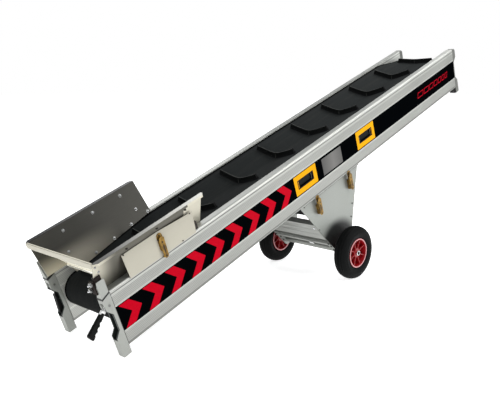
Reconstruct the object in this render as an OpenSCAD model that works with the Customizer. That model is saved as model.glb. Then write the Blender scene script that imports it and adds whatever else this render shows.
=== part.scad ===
// Mobile troughed-belt conveyor: two side beams, a cleated belt loop, a feed hopper over the
// tail, folding lift handles in the tail legs and a two-wheeled undercarriage.
// Side parts are drawn once for the far side (+Y) and mirrored for the near side (-Y).
// The machine is drawn level, x from the tail along the beams and z square to them,
// and on_incline() tips it onto its feet and wheels.

/* [Frame] */
// length of the side beams
beam_length = 2608; // [2200:10:3000]
// width over the outer faces of the beams
frame_width = 384; // [360:1:430]
// height of the side beams
beam_height = 229; // [225:1:240]
// thickness of a side beam
beam_depth = 36; // [34:1:40]
// incline of the beams as the machine stands
incline = 19.65; // [16:0.05:22]

/* [Belt] */
// play of the belt's edge beside a beam
belt_play = 5; // [4:1:16]
// thickness of the belt
belt_thickness = 5; // [4:0.5:6]
// radius of the tail and head drums
drum_radius = 65; // [60:1:66]
// rise of the belt's edge over its middle in the trough
trough_depth = 41; // [30:1:42]
// cleats on the whole loop
cleat_count = 20; // [16:1:22]
// height of a cleat over the belt
cleat_height = 20; // [15:1:30]

/* [Undercarriage] */
// radius of the tyres
wheel_radius = 132; // [125:1:135]
// width of a tyre
tyre_width = 72; // [64:1:80]
// distance of the axle from the tail end of the beams
axle_station = 1285; // [1240:5:1330]

/* [Hopper] */
// length of the hopper along the beams
hopper_length = 527; // [480:1:600]
// height of the hopper's rim over the underside of the beams
rim_height = 364; // [350:1:370]
// distance of the rim from the middle of the belt
rim_reach = 207; // [205:1:220]

/* [Lift handles] */
// swing of the near handle out of its leg
near_handle_swing = 53; // [0:1:80]

/* [Hidden] */
// smoothness of the round surfaces
$fn = 64;
// half the frame width, the inner face of a beam, and the belt between the beams
half = frame_width / 2;
inner = half - beam_depth;
belt_width = 2 * (inner - belt_play);
// smallest overlap used to fuse solids and to cut through them
fuse = 1;

// legs: depth along the beam, width, drop under the beam, height of the top's front edge
leg_depth = 36;
leg_width = 32;
leg_drop = 35;
leg_top = 214;
leg_rise = 12;

// where the machine stands: height of the beams' lower tail corner, and the shift that
// centres the machine over the origin
sin_i = sin(incline);
cos_i = cos(incline);
corner_z = leg_depth * sin_i + leg_drop * cos_i;
corner_x = -1169.014;
axle_z = (wheel_radius - corner_z - axle_station * sin_i) / cos_i;

// belt path: drum centres, height of the drums, and the loop's length
tail_drum_x = 73;
head_drum_x = beam_length - 60;
drum_z = 115;
belt_run = head_drum_x - tail_drum_x;
wrap_length = PI * (drum_radius + belt_thickness);
loop_length = 2 * (belt_run + wrap_length);
cleat_pitch = loop_length / cleat_count;
first_cleat = (belt_run - 40) % cleat_pitch;
carry_steps = 24;
trough_start = tail_drum_x + belt_run * 4 / carry_steps;
trough_end = tail_drum_x + belt_run * 22 / carry_steps;
cleat_half = belt_width * 0.371;
cleat_lead = 4;

// black side panel seat in the beams, and the slots for the carry grips
panel_low = 65;
panel_high = 158;
panel_seat = 2.6;
slot_length = 114;
slot_height = 38;
slot_z = 111.5;
slot_stations = [axle_station - 173, axle_station + 336];
plug_stations = [slot_stations[0] - 550, slot_stations[1] + 406];
plug_radius = 14;

// hopper sheet and its flare
sheet = 2.5;
wing_low_y = inner - 8;
wing_low_z = 222;
wing_flare = (rim_reach - wing_low_y) / (rim_height - wing_low_z);
rim_tail_x = -37;
chute_foot = [58, 232];
seat = 0.3;

// undercarriage plates: the outline of one plate in x and z
plate_thickness = 4;
plate_top = [axle_station - 231, axle_station + 241];
plate_y = half - 13;
plate_inner = plate_y - plate_thickness;

// latches that hold the plates to the beams
latch_stations = [axle_station - 120, axle_station + 145];

// lift handle pivot: a pin across the leg, which carries the handle in its slot
pivot_x = -18;
pivot_z = 181;
pin_radius = 3;
running_gap = 0.05;
leg_middle = half - leg_width / 2;

silver = [0.78, 0.78, 0.76];
cream = [0.80, 0.78, 0.71];
black = [0.10, 0.10, 0.11];
gold = [0.62, 0.48, 0.20];
chrome = [0.85, 0.85, 0.86];
steel = [0.55, 0.55, 0.53];
red = [0.60, 0.05, 0.07];

module on_incline() {
    translate([corner_x, 0, corner_z]) rotate([0, -incline, 0]) children();
}

module near_side() {
    mirror([0, 1, 0]) children();
}

// a 2D outline in x and z, as thick as given, from y upwards
module upright(y, thickness) {
    translate([0, y + thickness, 0]) rotate([90, 0, 0]) linear_extrude(height = thickness) children();
}

// a 2D outline in y and z, run along the beams from x
module along(x, length) {
    translate([x, 0, 0]) rotate([90, 0, 90]) linear_extrude(height = length) children();
}

// Side beams
rib_pitch = 4;
rib_depth = 0.7;
wall = 3;

module rib_grooves(low, high) {
    for (z = [low : rib_pitch : high]) translate([half - rib_depth, z]) square([rib_depth + fuse, 1.6]);
}

module beam_profile() {
    edge = 9;
    difference() {
        union() {
            translate([inner, 0]) square([beam_depth, beam_height - edge]);
            translate([inner, beam_height - edge - fuse]) square([beam_depth - edge, edge + fuse]);
            translate([half - edge, beam_height - edge]) circle(r = edge);
        }
        // seat of the black side panel
        translate([half - panel_seat, panel_low]) square([panel_seat + fuse, panel_high - panel_low]);
        rib_grooves(10, panel_low - 8);
        rib_grooves(panel_high + 7, beam_height - 22);
        // shadow lines over the bottom edge and under the rounded shoulder
        for (z = [4, beam_height - edge - 5]) translate([half - 1.6, z]) square([1.6 + fuse, 2]);
        // chambers of the extrusion
        translate([inner + wall, 5]) square([beam_depth - 2 * wall, panel_low - 10]);
        translate([inner + wall, panel_low + wall])
            square([beam_depth - 2 * wall - panel_seat, panel_high - panel_low - 2 * wall]);
        translate([inner + wall, panel_high + wall])
            square([beam_depth - 2 * wall, beam_height - panel_high - 2 * wall]);
        // slot under the beam for sliding clamps
        translate([inner + beam_depth / 2 - 5, -fuse]) square([10, 5 + 2 * fuse]);
    }
}

module slot_outline(grow) {
    for (x = slot_stations) translate([x - slot_length / 2 - grow, slot_z - slot_height / 2 - grow])
        square([slot_length + 2 * grow, slot_height + 2 * grow]);
}

module side_beam() {
    difference() {
        along(0, beam_length) beam_profile();
        upright(half - panel_seat - wall - fuse, wall + 2 * fuse) slot_outline(0);
    }
}

module side_panel() {
    upright(half - panel_seat, 1.6) difference() {
        translate([0, panel_low]) square([beam_length, panel_high - panel_low]);
        slot_outline(0);
    }
    for (x = plug_stations) upright(half - panel_seat, 2.4) translate([x, slot_z + 1]) circle(r = plug_radius);
}

// pocket of a carry grip: lip over the panel, thin walls, and a pad on its floor
module carry_grip(station) {
    depth = beam_depth - panel_seat - wall - 4;
    skin = 2;
    play = 0.3;
    lip = 3;
    long = slot_length - 2 * play;
    high = slot_height - 2 * play;
    floor_y = half - panel_seat - depth;
    translate([station, 0, slot_z]) {
        difference() {
            union() {
                translate([-long / 2, floor_y, -high / 2]) cube([long, depth + 1.6, high]);
                translate([-long / 2 - lip, half - 1, -high / 2 - lip]) cube([long + 2 * lip, 1.6, high + 2 * lip]);
            }
            translate([-long / 2 + skin, floor_y + skin, -high / 2 + skin])
                cube([long - 2 * skin, depth + 8, high - 2 * skin]);
        }
        translate([-long / 2 + 10, floor_y + skin / 2, -high / 2 + 6]) cube([long - 20, skin + 2, high - 12]);
    }
}

// Legs, feet and head posts
// notch in the leg's front for the folded handle, from its top corner down, and the pocket in it
notch = [[-leg_depth, 167], [-15, 142], [-15, 75], [-leg_depth, 49]];
notch_lining = 2.5;
pocket = [26, 134];
pocket_low = 38;
pocket_floor_x = -5;
fork_slot = 14;
// bore along the leg's depth, beside the slot for the fork
front_bore_y = leg_middle - leg_width / 2 + 4.5;
front_bore_z = 190;
front_bore_radius = 3;

// box across the middle of a leg, from in front of it to a given x
module leg_box(width, to_x, low, high) {
    translate([-leg_depth - fuse, leg_middle - width / 2, low]) cube([to_x + leg_depth + fuse, width, high - low]);
}

module tail_leg() {
    difference() {
        upright(half - leg_width, leg_width) polygon(concat(
            [[0, -leg_drop], [-leg_depth, -leg_drop]], [for (i = [3 : -1 : 0]) notch[i]],
            [[-leg_depth, leg_top], [0, leg_top + leg_rise]]));
        leg_box(pocket[0], pocket_floor_x, pocket_low, pocket_low + pocket[1]);
        leg_box(fork_slot, pocket_floor_x, pocket_low, pivot_z + fork_slot);
        translate([pivot_x, half + fuse, pivot_z]) rotate([90, 0, 0])
            cylinder(r = pin_radius, h = leg_width + 2 * fuse);
        translate([-leg_depth - fuse, front_bore_y, front_bore_z]) rotate([0, 90, 0])
            cylinder(r = front_bore_radius, h = leg_depth + 2 * fuse);
    }
}

// black lining of the notch and of the pocket behind it
module notch_liner() {
    wall = 2;
    open = [for (i = [3 : -1 : 0]) notch[i] + [i == 0 || i == 3 ? -fuse : -notch_lining, i == 0 ? -3 : i == 3 ? 3 : 0]];
    difference() {
        union() {
            upright(half - leg_width, leg_width) polygon(notch);
            leg_box(pocket[0], pocket_floor_x, pocket_low, pocket_low + pocket[1]);
        }
        upright(half - leg_width - fuse, leg_width + 2 * fuse) polygon(open);
        leg_box(pocket[0] - 2 * wall, pocket_floor_x - wall, pocket_low + wall, pocket_low + pocket[1] - wall);
        leg_box(fork_slot, pocket_floor_x - wall, pocket_low + wall, pocket_low + pocket[1] + fuse);
        leg_box(leg_width, -leg_depth, 0, leg_top);
    }
}

module leg_gasket() {
    upright(half - leg_width, leg_width) polygon([
        [0, leg_top + leg_rise], [-leg_depth, leg_top], [-leg_depth, leg_top + 3], [0, leg_top + leg_rise + 3]]);
}

module head_post() {
    post = 33;
    web = 8;
    upright(half - beam_depth, beam_depth) polygon([
        [beam_length, -36], [beam_length + post, -33], [beam_length + post - 4, 40], [beam_length + web, 62],
        [beam_length + web, 151], [beam_length + post, 176], [beam_length + post, 214],
        [beam_length + post - 8, 226], [beam_length, 226]]);
}

module head_buffer() {
    upright(half - beam_depth + 2, beam_depth - 4) polygon([
        [beam_length - 34, 0], [beam_length, 0], [beam_length, -34], [beam_length - 10, -34]]);
}

// Belt and drums
// how deep the trough is at a station along the beams, from 0 to 1
function troughed(x) = x < trough_start ? max(0, (x - tail_drum_x) / (trough_start - tail_drum_x))
    : x > trough_end ? max(0, (head_drum_x - x) / (head_drum_x - trough_end)) : 1;

// rise of the belt at y in a full trough: rounded in the middle, straight flanks
function rise(y) = let (soft = 22, edge = sqrt(pow(belt_width / 2, 2) + soft * soft) - soft)
    trough_depth * (sqrt(y * y + soft * soft) - soft) / edge;

// one station of the loop: x, z, the outward normal's x and z, share of the trough
wrap_steps = 12;
carry_stations = [for (i = [0 : carry_steps - 1]) let (x = tail_drum_x + belt_run * i / carry_steps)
    [x, drum_z + drum_radius, 0, 1, troughed(x)]];
head_stations = [for (i = [0 : wrap_steps]) let (t = 90 - 180 * i / wrap_steps)
    [head_drum_x + drum_radius * cos(t), drum_z + drum_radius * sin(t), cos(t), sin(t), 0]];
tail_stations = [for (i = [0 : wrap_steps - 1]) let (t = -90 - 180 * i / wrap_steps)
    [tail_drum_x + drum_radius * cos(t), drum_z + drum_radius * sin(t), cos(t), sin(t), 0]];
stations = concat(carry_stations, head_stations, tail_stations);
columns = [for (i = [-6 : 6]) belt_width / 12 * i];

// belt skin: an outer and an inner sheet of points, closed along both edges
module belt_skin() {
    n = len(stations);
    m = len(columns);
    sheet_points = function(lift) [for (s = stations, y = columns)
        let (up = s[4] * rise(y) + lift) [s[0] + s[2] * up, y, s[1] + s[3] * up]];
    points = concat(sheet_points(belt_thickness), sheet_points(0));
    at = function(layer, i, j) layer * n * m + (i % n) * m + j;
    faces = [for (i = [0 : n - 1]) each concat(
        [for (j = [0 : m - 2]) each [[at(0, i, j), at(0, i, j + 1), at(0, i + 1, j)],
            [at(0, i, j + 1), at(0, i + 1, j + 1), at(0, i + 1, j)]]],
        [for (j = [0 : m - 2]) each [[at(1, i, j), at(1, i + 1, j), at(1, i, j + 1)],
            [at(1, i, j + 1), at(1, i + 1, j), at(1, i + 1, j + 1)]]],
        [[at(0, i, 0), at(0, i + 1, 0), at(1, i, 0)], [at(0, i + 1, 0), at(1, i + 1, 0), at(1, i, 0)]],
        [[at(0, i, m - 1), at(1, i, m - 1), at(0, i + 1, m - 1)],
            [at(0, i + 1, m - 1), at(1, i, m - 1), at(1, i + 1, m - 1)]])];
    polyhedron(points = points, faces = faces, convexity = 8);
}

// moves onto the belt's outer face, s along the loop from over the tail drum
module at_belt(s) {
    reach = drum_radius + belt_thickness;
    if (s < belt_run) translate([tail_drum_x + s, 0, drum_z + reach]) children();
    else if (s < belt_run + wrap_length)
        translate([head_drum_x, 0, drum_z]) rotate([0, (s - belt_run) / wrap_length * 180, 0])
            translate([0, 0, reach]) children();
    else if (s < 2 * belt_run + wrap_length)
        translate([head_drum_x - (s - belt_run - wrap_length), 0, drum_z - reach]) rotate([0, 180, 0]) children();
    else translate([tail_drum_x, 0, drum_z])
        rotate([0, 180 + (s - 2 * belt_run - wrap_length) / wrap_length * 180, 0])
            translate([0, 0, reach]) children();
}

// a cleat: two straight bars that meet at the belt's middle, swept back toward the tail
module cleat(lift) {
    sunk = 2;
    foot = 14;
    crest = 8;
    for (side = [-1, 1]) hull() for (end = [0, 1]) {
        drop = sunk * (1 + end);
        translate([end * cleat_lead - foot / 2, side * end * cleat_half - 1, end * lift - drop]) cube([foot, 2, 1]);
        translate([end * cleat_lead - crest / 2, side * end * cleat_half - 1, end * lift + cleat_height - 1])
            cube([crest, 2, 1]);
    }
}

module belt() {
    belt_skin();
    for (i = [0 : cleat_count - 1]) {
        s = first_cleat + i * cleat_pitch;
        lift = s < belt_run ? troughed(tail_drum_x + s) * rise(cleat_half) : 0;
        at_belt(s) cleat(lift);
    }
}

module drum(station) {
    shaft = 10;
    play = 0.85;
    translate([station, 0, drum_z]) rotate([90, 0, 0]) {
        cylinder(r = drum_radius - play, h = belt_width - 6, center = true);
        cylinder(r = shaft, h = 2 * inner, center = true);
    }
}

// bed under the trough: the belt's own cross section, a little narrower
module slider_bed() {
    under = 0.4;
    bed = 3;
    end_play = 5;
    rows = [for (i = [-6 : 6]) belt_width / 12 * (abs(i) == 6 ? i * 0.97 : i)];
    base = drum_z + drum_radius - under;
    along(trough_start + end_play, trough_end - trough_start - 2 * end_play) polygon(concat(
        [for (y = rows) [y, base + rise(y)]],
        [for (i = [12 : -1 : 0]) [rows[i], base + rise(rows[i]) - bed]]));
}

// cross ties between the beams, inside the belt loop
// columns: station, depth along the beams, and 1 where a web carries the slider bed
ties = [[tail_drum_x + 257, 40, 0], [axle_station + 15, 60, 1], [trough_end - 68, 40, 1]];

module cross_tie(tie) {
    station = tie[0];
    depth = tie[1];
    carries_bed = tie[2];
    high = 40;
    wall = 3;
    difference() {
        translate([station - depth / 2, -inner, drum_z - high / 2]) cube([depth, 2 * inner, high]);
        translate([station - depth / 2 + wall, -inner - fuse, drum_z - high / 2 + wall])
            cube([depth - 2 * wall, 2 * inner + 2 * fuse, high - 2 * wall]);
    }
    if (carries_bed > 0) translate([station - wall, -30, drum_z + high / 2 - fuse])
        cube([2 * wall, 60, drum_radius - high / 2 - wall]);
}

// strip that carries the belt's edge on the return run
module return_rail() {
    top = drum_z - drum_radius - belt_thickness - 0.3;
    ends = drum_radius + belt_thickness;
    shelf = cleat_half + 10;
    translate([tail_drum_x + ends, shelf, top - 6]) cube([belt_run - 2 * ends, inner - shelf, 6]);
    translate([tail_drum_x + ends, inner - 4, top - 24]) cube([belt_run - 2 * ends, 4, 24]);
}

// Hopper
wing_tail_x = -33;
wing_head_x = wing_tail_x + hopper_length;
lip_top = rim_height + 2;
lip_half = rim_reach + 3;
function wing_y(z) = wing_low_y + (z - wing_low_z) * wing_flare;

// side wing: a flared sheet with a lip folded out and down at the rim; its lower edge lies on
// the beam at the tail and follows the belt further up
module hopper_wing() {
    lip = 22;
    hem = 10;
    foot = 180;
    across = sheet * sqrt(1 + wing_flare * wing_flare);
    corner = 12;
    edge_y = rim_reach + lip;
    intersection() {
        difference() {
            along(wing_tail_x, hopper_length) polygon([
                [wing_y(foot), foot], [rim_reach, rim_height], [edge_y, rim_height], [edge_y, rim_height - hem],
                [edge_y - sheet, rim_height - hem], [edge_y - sheet, rim_height - sheet],
                [wing_y(rim_height - sheet) + across, rim_height - sheet], [wing_y(foot) + across, foot]]);
            upright(inner - 60, 60 + beam_depth) polygon([
                [wing_tail_x - fuse, foot - fuse], [wing_tail_x - fuse, beam_height - 1], [58, beam_height - 1],
                [75, 188], [trough_start, beam_height - 1], [wing_head_x + fuse, beam_height - 1],
                [wing_head_x + fuse, foot - fuse]]);
        }
        translate([0, 0, foot - fuse]) linear_extrude(height = rim_height) polygon([
            [wing_tail_x, 0], [wing_head_x, 0], [wing_head_x, edge_y - corner], [wing_head_x - corner, edge_y],
            [wing_tail_x + corner, edge_y], [wing_tail_x, edge_y - corner]]);
    }
}

// outer side panel: hooks over the beam's top edge and holds the wing on two webs
panel_y = half + seat;

module hopper_side_panel() {
    across = sheet * sqrt(1 + wing_flare * wing_flare);
    crest = wing_low_z + (panel_y - seat - across - wing_low_y) / wing_flare - 2 * seat;
    low = beam_height + seat;
    web_y = wing_y(low) + across + 2 * seat;
    web_top = crest - 14;
    upright(panel_y, sheet) polygon([
        [95, beam_height - 7], [430, beam_height - 7], [438, crest - 12], [262, crest], [89, crest]]);
    for (x = [126, 396]) along(x, sheet) polygon([
        [web_y, low], [panel_y + fuse, low], [panel_y + fuse, web_top], [wing_y(web_top) + across + 2 * seat, web_top]]);
}

// lip bar across the tail end of the hopper's rim
module hopper_tail_lip() {
    back = wing_tail_x - seat;
    front = rim_tail_x - sheet;
    high = 22;
    step = 7;
    along(front, back - front) polygon([
        [-lip_half, lip_top], [lip_half, lip_top], [lip_half, lip_top - high + step], [lip_half - step, lip_top - high],
        [-lip_half + step, lip_top - high], [-lip_half, lip_top - high + step]]);
}

// tail chute: the sheet that slopes from the lip bar down to the belt, and the hem at its foot
module hopper_tail_chute() {
    head = [wing_tail_x, lip_top - 2];
    run = norm([chute_foot[0] - head[0], head[1] - chute_foot[1]]);
    lean = atan2(chute_foot[0] - head[0], head[1] - chute_foot[1]);
    translate([head[0], 0, head[1]]) rotate([0, -lean, 0]) along(0, sheet) polygon([
        [-wing_y(head[1]) + 1, 0], [wing_y(head[1]) - 1, 0], [wing_y(chute_foot[1]) - 1, -run],
        [-wing_y(chute_foot[1]) + 1, -run]]);
    hem = 2 * (wing_y(chute_foot[1]) - 5);
    translate([chute_foot[0] - 4, -hem / 2, chute_foot[1] - 7]) cube([10, hem, 9]);
}

// corner post between a leg and the hopper: upright outside, sloped like the wing inside
module corner_post() {
    post_depth = 34;
    crest = 286;
    difference() {
        along(-leg_depth, post_depth) polygon([[half - leg_width, leg_top], [half, leg_top], [half, crest]]);
        upright(half - leg_width - fuse, leg_width + 2 * fuse) polygon([
            [fuse, leg_top - fuse], [-leg_depth - fuse, leg_top - fuse], [-leg_depth - fuse, leg_top + 3],
            [fuse, leg_top + leg_rise + 3 + leg_rise / leg_depth]]);
    }
}

// clamp of the hopper in front of a corner post: bracket, two studs and their wing nuts
module hopper_clamp() {
    face = -leg_depth - seat;
    translate([face - 5, half - leg_width - 4, 236]) cube([5, 20, 44]);
    for (z = [246, 268]) translate([face - 5, half - leg_width, z]) rotate([0, -90, 0]) {
        cylinder(r = 3, h = 20);
        translate([0, 0, 4]) cylinder(r = 6.5, h = 7);
        translate([-2, -15, 6]) cube([4, 30, 4]);
    }
}

// over-centre toggle latch in x and z, hung from its top end, against the plane y = 0
module toggle_latch() {
    wide = 20;
    upright(0, 2) difference() {
        union() {
            translate([-wide / 2, -62]) square([wide, 52]);
            translate([0, -10]) circle(r = wide / 2);
        }
        translate([0, -12]) circle(r = 2.5);
    }
    for (side = [-1, 1]) translate([side * 8 - 1, 1, -60]) cube([2, 9, 46]);
    upright(8, 3) difference() {
        union() {
            translate([-wide / 2 + 3, -92]) square([wide - 6, 74]);
            translate([0, -92]) circle(r = wide / 2 - 3);
        }
        translate([0, -90]) circle(r = 3);
    }
    upright(1, 3) translate([-5, -100]) square([10, 42]);
    translate([-wide / 2 - 1, 6, -22]) rotate([0, 90, 0]) cylinder(r = 3.5, h = wide + 2);
}

module hopper_latch() {
    translate([262, panel_y + sheet, 312]) toggle_latch();
    translate([262 - 7, panel_y, 214]) cube([14, sheet + 2, 6]);
}

// Undercarriage
plate_bottom_z = axle_z - 30;
plate_left_slope = 0.544;
plate_right_slope = 0.438;

// x of the plate's tail edge at a height
function plate_tail_x(z) = plate_top[0] - z * plate_left_slope;

// moves to the plate's tail edge at height z, with z along the edge
module on_tail_edge(y, z) {
    translate([plate_tail_x(z), y, z]) rotate([0, -atan(plate_left_slope), 0]) children();
}

module undercarriage_plate() {
    flange = 26;
    left_low = plate_tail_x(plate_bottom_z) - 10;
    right_low = plate_top[1] + plate_bottom_z * plate_right_slope;
    difference() {
        upright(plate_inner, plate_thickness) polygon([
            [plate_top[0], 0], [plate_top[1], 0], [plate_top[1] + 4, -10], [right_low + 2, plate_bottom_z + 12],
            [right_low - 12, plate_bottom_z], [left_low + 12, plate_bottom_z], [left_low, plate_bottom_z + 14],
            [plate_top[0] - 4, -12]]);
        translate([axle_station, plate_y + fuse, axle_z]) rotate([90, 0, 0])
            cylinder(r = axle_sleeve + seat, h = plate_thickness + 2 * fuse);
    }
    // rail on top that seats under the beam
    translate([plate_top[0], plate_y - flange, -4]) cube([plate_top[1] - plate_top[0], half - 0.5 - plate_y + flange, 4]);
    // inward flange along the lower part of the tail edge
    on_tail_edge(plate_inner - flange, flange_high) translate([0, 0, -flange_length])
        cube([flange_thickness, flange + fuse, flange_length]);
}

// cross member along the tail edge: where it starts, its depth and its width down the edge
member_high = -132;
member_depth = 26;
member_width = 132;
// how far the two members stand out of the tail edge
member_proud = 7;
// lower rail, and the flange of the plates below it
rail_high = member_high - 142;
rail_size = 28;
flange_high = rail_high - rail_size;
flange_length = 70;
flange_thickness = 3;

// hollow extrusion with two grooves in its front face
module cross_extrusion() {
    wall = 3;
    cells = 3;
    cell = (member_width - (cells + 1) * wall) / cells;
    on_tail_edge(-plate_inner, member_high) translate([-member_proud, 0, 0]) difference() {
        translate([0, 0, -member_width]) cube([member_depth, 2 * plate_inner, member_width]);
        for (i = [1 : cells]) translate([wall, -fuse, -i * (cell + wall)])
            cube([member_depth - 2 * wall, 2 * plate_inner + 2 * fuse, cell]);
        for (i = [1 : cells - 1]) translate([-fuse, -fuse, -i * (cell + wall) - wall / 2 - 2])
            cube([1.5 + fuse, 2 * plate_inner + 2 * fuse, 4]);
    }
}

// lower rail: a square tube with a slot along its front
module cross_rail() {
    wall = 3;
    slot = 8;
    on_tail_edge(-plate_inner, rail_high) translate([-member_proud, 0, 0]) difference() {
        translate([0, 0, -rail_size]) cube([rail_size, 2 * plate_inner, rail_size]);
        translate([wall, -fuse, wall - rail_size])
            cube([rail_size - 2 * wall, 2 * plate_inner + 2 * fuse, rail_size - 2 * wall]);
        translate([-fuse, -fuse, -wall - slot]) cube([wall + 2 * fuse, 2 * plate_inner + 2 * fuse, slot]);
    }
}

// latches hung on the beam, each with its catch on the plate
module undercarriage_latches() {
    for (x = latch_stations) {
        translate([x, half + seat, 4]) toggle_latch();
        translate([x - 8, plate_y, -58]) cube([16, half + seat + fuse - plate_y, 6]);
    }
}

module top_cross_block() {
    block = [60, 58];
    translate([plate_top[0] + 30, -plate_inner, -4 - block[1]]) cube([block[0], 2 * plate_inner, block[1]]);
}

axle_radius = 10;
axle_sleeve = 15.7;
wheel_gap = 16;
wheel_y = half + wheel_gap + tyre_width / 2;

module axle() {
    translate([axle_station, 0, axle_z]) rotate([90, 0, 0]) {
        cylinder(r = axle_sleeve, h = 2 * (half + 4), center = true);
        cylinder(r = axle_radius, h = 2 * (wheel_y + tyre_width / 2 - 8), center = true);
        for (side = [-1, 1]) translate([0, 0, side * (wheel_y + tyre_width / 2 - 6)])
            cylinder(r = 14, h = 6, center = true);
    }
}

module wheel_place() {
    translate([axle_station, wheel_y, axle_z]) rotate([90, 0, 0]) children();
}

rim_radius = 72;

module tyre() {
    shoulder = 14;
    half_tyre = tyre_width / 2;
    wheel_place() rotate_extrude($fn = 96) difference() {
        union() {
            translate([rim_radius + 0.3, -half_tyre + 6]) square([wheel_radius - rim_radius - shoulder - 0.3, tyre_width - 12]);
            translate([rim_radius + 12, -half_tyre]) square([wheel_radius - rim_radius - 12 - shoulder, tyre_width]);
            translate([wheel_radius - shoulder - fuse, -half_tyre + shoulder]) square([shoulder + fuse, tyre_width - 2 * shoulder]);
            for (side = [-1, 1]) translate([wheel_radius - shoulder, side * (half_tyre - shoulder)]) circle(r = shoulder);
        }
    }
}

module rim() {
    spokes = 8;
    half_tyre = tyre_width / 2;
    hub = tyre_width - 28;
    wheel_place() difference() {
        union() {
            rotate_extrude($fn = 96) {
                translate([rim_radius - 8, -half_tyre + 6]) square([8, tyre_width - 12]);
                translate([19, -3]) square([rim_radius - 20, 6]);
                translate([axle_radius, -hub / 2]) square([13, hub]);
            }
            for (i = [0 : spokes - 1]) rotate([0, 0, i * 360 / spokes])
                translate([18, -2.5, -half_tyre + 12]) cube([rim_radius - 24, 5, tyre_width - 24]);
        }
        cylinder(r = axle_radius + running_gap, h = 2 * tyre_width, center = true);
    }
}

// Lift handles
module handle_pin() {
    head = 1.5;
    translate([pivot_x, half + head, pivot_z]) rotate([90, 0, 0]) {
        cylinder(r = pin_radius, h = leg_width + 2 * head);
        for (z = [0, leg_width + head]) translate([0, 0, z]) cylinder(r = pin_radius + 1.5, h = head);
    }
}

// puts a handle, drawn hanging from the origin, on its pivot and swings it out
module on_pivot(swing) {
    translate([pivot_x, leg_middle, pivot_z]) rotate([0, swing, 0]) children();
}

// fork on the pin: two flat prongs, joined by a block inside the grip
fork_width = 12;
fork_reach = 44;

module handle_stub() {
    prong = 3.5;
    eye = 6;
    difference() {
        union() {
            for (y = [fork_width / 2, prong - fork_width / 2]) {
                translate([0, y, 0]) rotate([90, 0, 0]) cylinder(r = eye, h = prong);
                translate([-eye + 1, y - prong, -fork_reach]) cube([2 * eye - 3, prong, fork_reach]);
            }
            translate([-eye + 1, -fork_width / 2, -fork_reach]) cube([2 * eye - 3, fork_width, 10]);
        }
        translate([0, fork_width, 0]) rotate([90, 0, 0]) cylinder(r = pin_radius + running_gap, h = 2 * fork_width);
    }
}

// grip: widens toward its end, with finger notches on the side of the leg
module handle_grip() {
    wide = 16;
    finger = 9;
    notch_x = 10.5;
    notch_lean = 0.06;
    clearance = 0.2;
    difference() {
        upright(-wide / 2, wide) difference() {
            polygon([[-10, -33], [3, -32], [4, -52], [9, -124], [6, -130], [-14, -126], [-17, -120]]);
            for (z = [-66, -86, -106]) translate([notch_x - (z + 66) * notch_lean, z]) circle(r = finger);
        }
        translate([-5 - clearance, -fork_width / 2 - clearance, -fork_reach - clearance])
            cube([9 + 2 * clearance, fork_width + 2 * clearance, fork_reach]);
    }
}

module pair(side) {
    if (side < 0) near_side() children();
    else children();
}

color(silver) on_incline() pair(-1) side_beam();  // beam_near
color(silver) on_incline() pair(1) side_beam();  // beam_far
color(black) on_incline() pair(-1) side_panel();  // panel_near
color(black) on_incline() pair(1) side_panel();  // panel_far
color(black) on_incline() pair(-1) carry_grip(slot_stations[0]);  // carry_grip_near_tail
color(black) on_incline() pair(-1) carry_grip(slot_stations[1]);  // carry_grip_near_head
color(black) on_incline() pair(1) carry_grip(slot_stations[0]);  // carry_grip_far_tail
color(black) on_incline() pair(1) carry_grip(slot_stations[1]);  // carry_grip_far_head
color(silver) on_incline() pair(-1) tail_leg();  // leg_near
color(silver) on_incline() pair(1) tail_leg();  // leg_far
color(black) on_incline() pair(-1) notch_liner();  // notch_liner_near
color(black) on_incline() pair(1) notch_liner();  // notch_liner_far
color(black) on_incline() pair(-1) leg_gasket();  // leg_gasket_near
color(black) on_incline() pair(1) leg_gasket();  // leg_gasket_far
color(silver) on_incline() pair(-1) head_post();  // head_post_near
color(silver) on_incline() pair(1) head_post();  // head_post_far
color(black) on_incline() pair(-1) head_buffer();  // head_buffer_near
color(black) on_incline() pair(1) head_buffer();  // head_buffer_far
color(black) on_incline() belt();
color(steel) on_incline() drum(tail_drum_x);  // tail_drum
color(steel) on_incline() drum(head_drum_x);  // head_drum
color(steel) on_incline() slider_bed();
color(silver) on_incline() cross_tie(ties[0]);  // cross_tie_tail
color(silver) on_incline() cross_tie(ties[1]);  // cross_tie_middle
color(silver) on_incline() cross_tie(ties[2]);  // cross_tie_head
color(black) on_incline() pair(-1) return_rail();  // return_rail_near
color(black) on_incline() pair(1) return_rail();  // return_rail_far
color(steel) on_incline() pair(-1) hopper_wing();  // hopper_wing_near
color(steel) on_incline() pair(1) hopper_wing();  // hopper_wing_far
color(cream) on_incline() pair(-1) hopper_side_panel();  // hopper_panel_near
color(cream) on_incline() pair(1) hopper_side_panel();  // hopper_panel_far
color(cream) on_incline() hopper_tail_lip();
color(steel) on_incline() hopper_tail_chute();
color(silver) on_incline() pair(-1) corner_post();  // corner_post_near
color(silver) on_incline() pair(1) corner_post();  // corner_post_far
color(chrome) on_incline() near_side() hopper_clamp();
color(gold) on_incline() pair(-1) hopper_latch();  // hopper_latch_near
color(gold) on_incline() pair(1) hopper_latch();  // hopper_latch_far
color(silver) on_incline() pair(-1) undercarriage_plate();  // undercarriage_plate_near
color(silver) on_incline() pair(1) undercarriage_plate();  // undercarriage_plate_far
color(gold) on_incline() pair(-1) undercarriage_latches();  // undercarriage_latches_near
color(gold) on_incline() pair(1) undercarriage_latches();  // undercarriage_latches_far
color(silver) on_incline() cross_extrusion();
color(silver) on_incline() cross_rail();
color(black) on_incline() top_cross_block();
color(chrome) on_incline() axle();
color(black) on_incline() pair(-1) tyre();  // tyre_near
color(red) on_incline() pair(-1) rim();  // rim_near
color(black) on_incline() pair(1) tyre();  // tyre_far
color(red) on_incline() pair(1) rim();  // rim_far
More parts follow.
